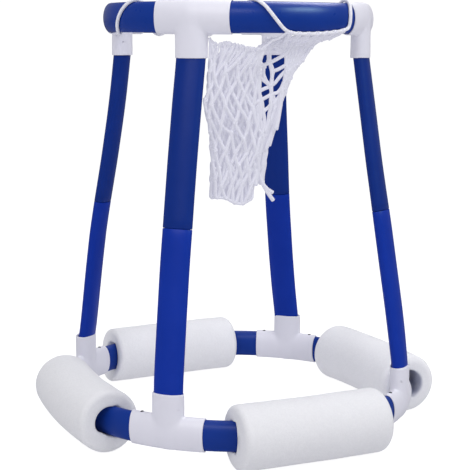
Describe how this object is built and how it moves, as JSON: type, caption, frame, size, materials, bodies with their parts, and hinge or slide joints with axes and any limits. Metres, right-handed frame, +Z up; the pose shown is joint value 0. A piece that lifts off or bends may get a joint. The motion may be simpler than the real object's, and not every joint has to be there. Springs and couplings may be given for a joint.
{
  "type": "floating pool basketball hoop",
  "caption": "Free-standing floating pool hoop: tube rim on leaning two-part legs over a base ring threaded with foam floats, a knotted net laced to the rim.",
  "frame": {"origin": "on the surface the floats lie on, at the middle of both rings", "axes": "+Z up along the rings' common axis; -Y towards the front leg, +X towards the right leg, as the picture's near and right legs stand"},
  "size_m": [0.4178, 0.42, 0.4644],
  "materials": {
    "tube": "glossy royal blue moulded plastic",
    "tee": "satin white plastic",
    "foam": "matt white closed-cell foam",
    "cord": "white braided cord",
    "net": "white knotted twine",
    "screw": "dark plated steel"
  },
  "bodies": {
    "frame": {"base_tube_front_right": "tube", "base_tee_front": "tee", "leg_lower_front": "tube", "leg_upper_front": "tube", "rim_tube_front_right": "tube", "rim_tee_front": "tee", "screw_front_a": "screw", "base_tube_rear_right": "tube", "base_tee_right": "tee", "leg_lower_right": "tube", "leg_upper_right": "tube", "rim_tube_rear_right": "tube", "rim_tee_right": "tee", "screw_right_a": "screw", "screw_right_b": "screw", "base_tube_rear_left": "tube", "base_tee_rear": "tee", "leg_lower_rear": "tube", "leg_upper_rear": "tube", "rim_tube_rear_left": "tube", "rim_tee_rear": "tee", "screw_rear_a": "screw", "screw_rear_b": "screw", "base_tube_front_left": "tube", "base_tee_left": "tee", "leg_lower_left": "tube", "leg_upper_left": "tube", "rim_tube_front_left": "tube", "rim_tee_left": "tee", "screw_left_a": "screw", "screw_left_b": "screw", "lacing_cord": "cord"},
    "float_front_right": {"float_front_right": "foam"},
    "float_rear_right": {"float_rear_right": "foam"},
    "float_rear_left": {"float_rear_left": "foam"},
    "float_front_left": {"float_front_left": "foam"},
    "net": {"net": "net"}
  },
  "joints": [
    {"name": "float_front_right_slide", "type": "hinge", "parent": "frame", "child": "float_front_right", "pos_m": [0, 0, 0.0335], "axis": [0, 0, 1], "range_deg": [-5.4, 5.6]},
    {"name": "float_rear_right_slide", "type": "hinge", "parent": "frame", "child": "float_rear_right", "pos_m": [0, 0, 0.0335], "axis": [0, 0, 1], "range_deg": [-6.2, 3.7]},
    {"name": "float_rear_left_slide", "type": "hinge", "parent": "frame", "child": "float_rear_left", "pos_m": [0, 0, 0.0335], "axis": [0, 0, 1], "range_deg": [-8.4, 4.2]},
    {"name": "float_front_left_slide", "type": "hinge", "parent": "frame", "child": "float_front_left", "pos_m": [0, 0, 0.0335], "axis": [0, 0, 1], "range_deg": [-5, 5.7]},
    {"name": "net_swing", "type": "hinge", "parent": "frame", "child": "net", "pos_m": [0.02, -0.12639, 0.42245], "axis": [0.784, 0.6208, 0], "range_deg": [-20, 35]}
  ]
}
